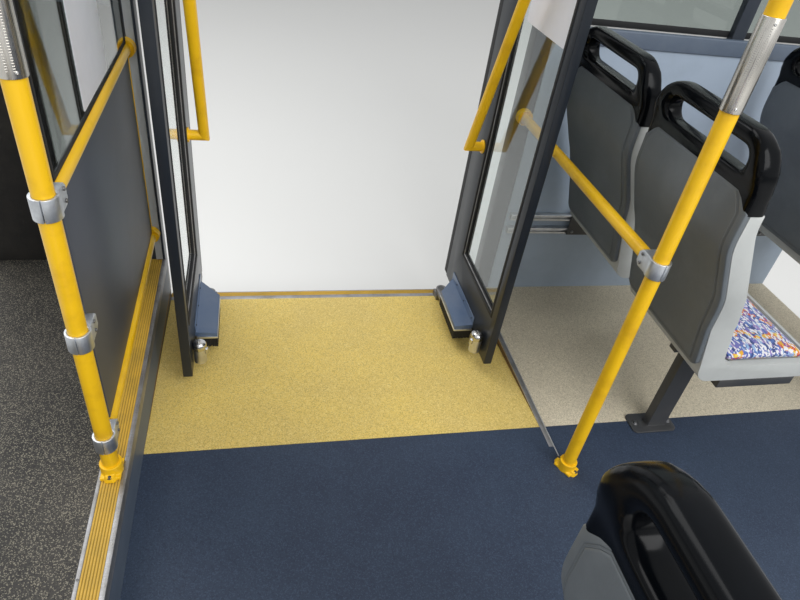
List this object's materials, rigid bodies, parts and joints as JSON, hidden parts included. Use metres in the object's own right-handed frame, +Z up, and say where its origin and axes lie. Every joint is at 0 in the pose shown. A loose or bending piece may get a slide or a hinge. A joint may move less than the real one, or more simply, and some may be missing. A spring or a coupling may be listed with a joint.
{
  "type": "city bus doorway bay",
  "caption": "Doorway bay of a low-floor city bus: floor with step, side wall, inward-gliding twin-leaf door, screen, grab rails and seats.",
  "frame": {"origin": "on the plane of the underframe's foot, under the middle of the bay", "axes": "+X towards the front of the bus, +Y out through the door, +Z up"},
  "size_m": [3.2, 2.25, 2.43],
  "materials": {
    "frame_steel": "satin chassis paint",
    "plywood": "coated plywood",
    "navy_vinyl": "speckled safety vinyl",
    "yellow_vinyl": "grained safety vinyl",
    "beige_vinyl": "speckled safety vinyl",
    "black_vinyl": "flecked safety vinyl",
    "aluminium_profile": "mill aluminium",
    "yellow_insert": "ribbed tread strip",
    "body_paint": "gloss body paint",
    "wall_lining": "laminate",
    "trim_grey": "moulded trim",
    "post_grey": "moulded cover",
    "window_pane": "tinted safety glass",
    "clear_pane": "clear safety glass",
    "screen_laminate": "laminate",
    "yellow_coat": "powder coat",
    "clamp_silver": "cast and tumbled",
    "ribbed_steel": "ribbed stainless",
    "leaf_dark": "satin paint",
    "door_rubber": "matt rubber",
    "brush_black": "bristles",
    "guard_metal": "satin paint",
    "bolt_chrome": "polished",
    "shell_grey": "moulded",
    "liner_grey": "moulded",
    "handle_black": "glossy moulded",
    "seat_fabric": "patterned moquette",
    "seat_steel": "satin paint",
    "gear_steel": "machined"
  },
  "bodies": {
    "bay": {"aisle_floor": "navy_vinyl", "back_pads": "seat_fabric", "cant_rail": "body_paint", "cross_members": "frame_steel", "cross_rails": "yellow_coat", "door_posts": "post_grey", "doorway_floor": "yellow_vinyl", "floor_deck": "plywood", "floor_profiles": "aluminium_profile", "grip_sleeves": "ribbed_steel", "header_cover": "post_grey", "lining_panels": "wall_lining", "outer_panels": "body_paint", "overhead_clamps": "clamp_silver", "overhead_rails": "yellow_coat", "pivot_blocks": "gear_steel", "platform_box": "plywood", "platform_floor": "black_vinyl", "screen_glass": "clear_pane", "screen_panel": "screen_laminate", "seat_cushions": "seat_fabric", "seat_floor": "beige_vinyl", "seat_handles": "handle_black", "seat_legs": "seat_steel", "seat_liners": "liner_grey", "seat_shells": "shell_grey", "seat_tubes": "seat_steel", "seat_wall_plates": "seat_steel", "side_beams": "frame_steel", "stanchions": "yellow_coat", "tread_inserts": "yellow_insert", "tube_clamps": "clamp_silver", "tube_feet": "yellow_coat", "wall_pillars": "body_paint", "wall_tracks": "aluminium_profile", "window_glass": "window_pane", "window_trim": "trim_grey"},
    "rear_swing_arms": {"rear_arms": "gear_steel"},
    "rear_leaf": {"rear_leaf_frame": "leaf_dark", "rear_leaf_rubber": "door_rubber", "rear_leaf_glass": "clear_pane", "rear_handrail": "yellow_coat", "rear_toe_guard": "guard_metal", "rear_guard_brush": "brush_black", "rear_lock_bolt": "bolt_chrome"},
    "front_swing_arms": {"front_arms": "gear_steel"},
    "front_leaf": {"front_leaf_frame": "leaf_dark", "front_leaf_rubber": "door_rubber", "front_leaf_glass": "clear_pane", "front_handrail": "yellow_coat", "front_toe_guard": "guard_metal", "front_guard_brush": "brush_black", "front_lock_bolt": "bolt_chrome"}
  },
  "joints": [
    {"name": "rear_arm_swing", "type": "hinge", "parent": "bay", "child": "rear_swing_arms", "pos_m": [-0.877, 1.035, 0.19], "axis": [0, 0, 1], "range_deg": [0, 90]},
    {"name": "rear_leaf_turn", "type": "hinge", "parent": "rear_swing_arms", "child": "rear_leaf", "pos_m": [-0.877, 0.853, 0.24], "axis": [0, 0, 1], "range_deg": [-180, 0]},
    {"name": "front_arm_swing", "type": "hinge", "parent": "bay", "child": "front_swing_arms", "pos_m": [0.037, 1.035, 0.19], "axis": [0, 0, -1], "range_deg": [0, 90]},
    {"name": "front_leaf_turn", "type": "hinge", "parent": "front_swing_arms", "child": "front_leaf", "pos_m": [0.037, 0.853, 0.24], "axis": [0, 0, -1], "range_deg": [-180, 0]}
  ],
  "couplings": [
    {"joint": "rear_leaf_turn", "follows": "rear_arm_swing", "ratio": -2},
    {"joint": "front_leaf_turn", "follows": "front_arm_swing", "ratio": -2}
  ]
}
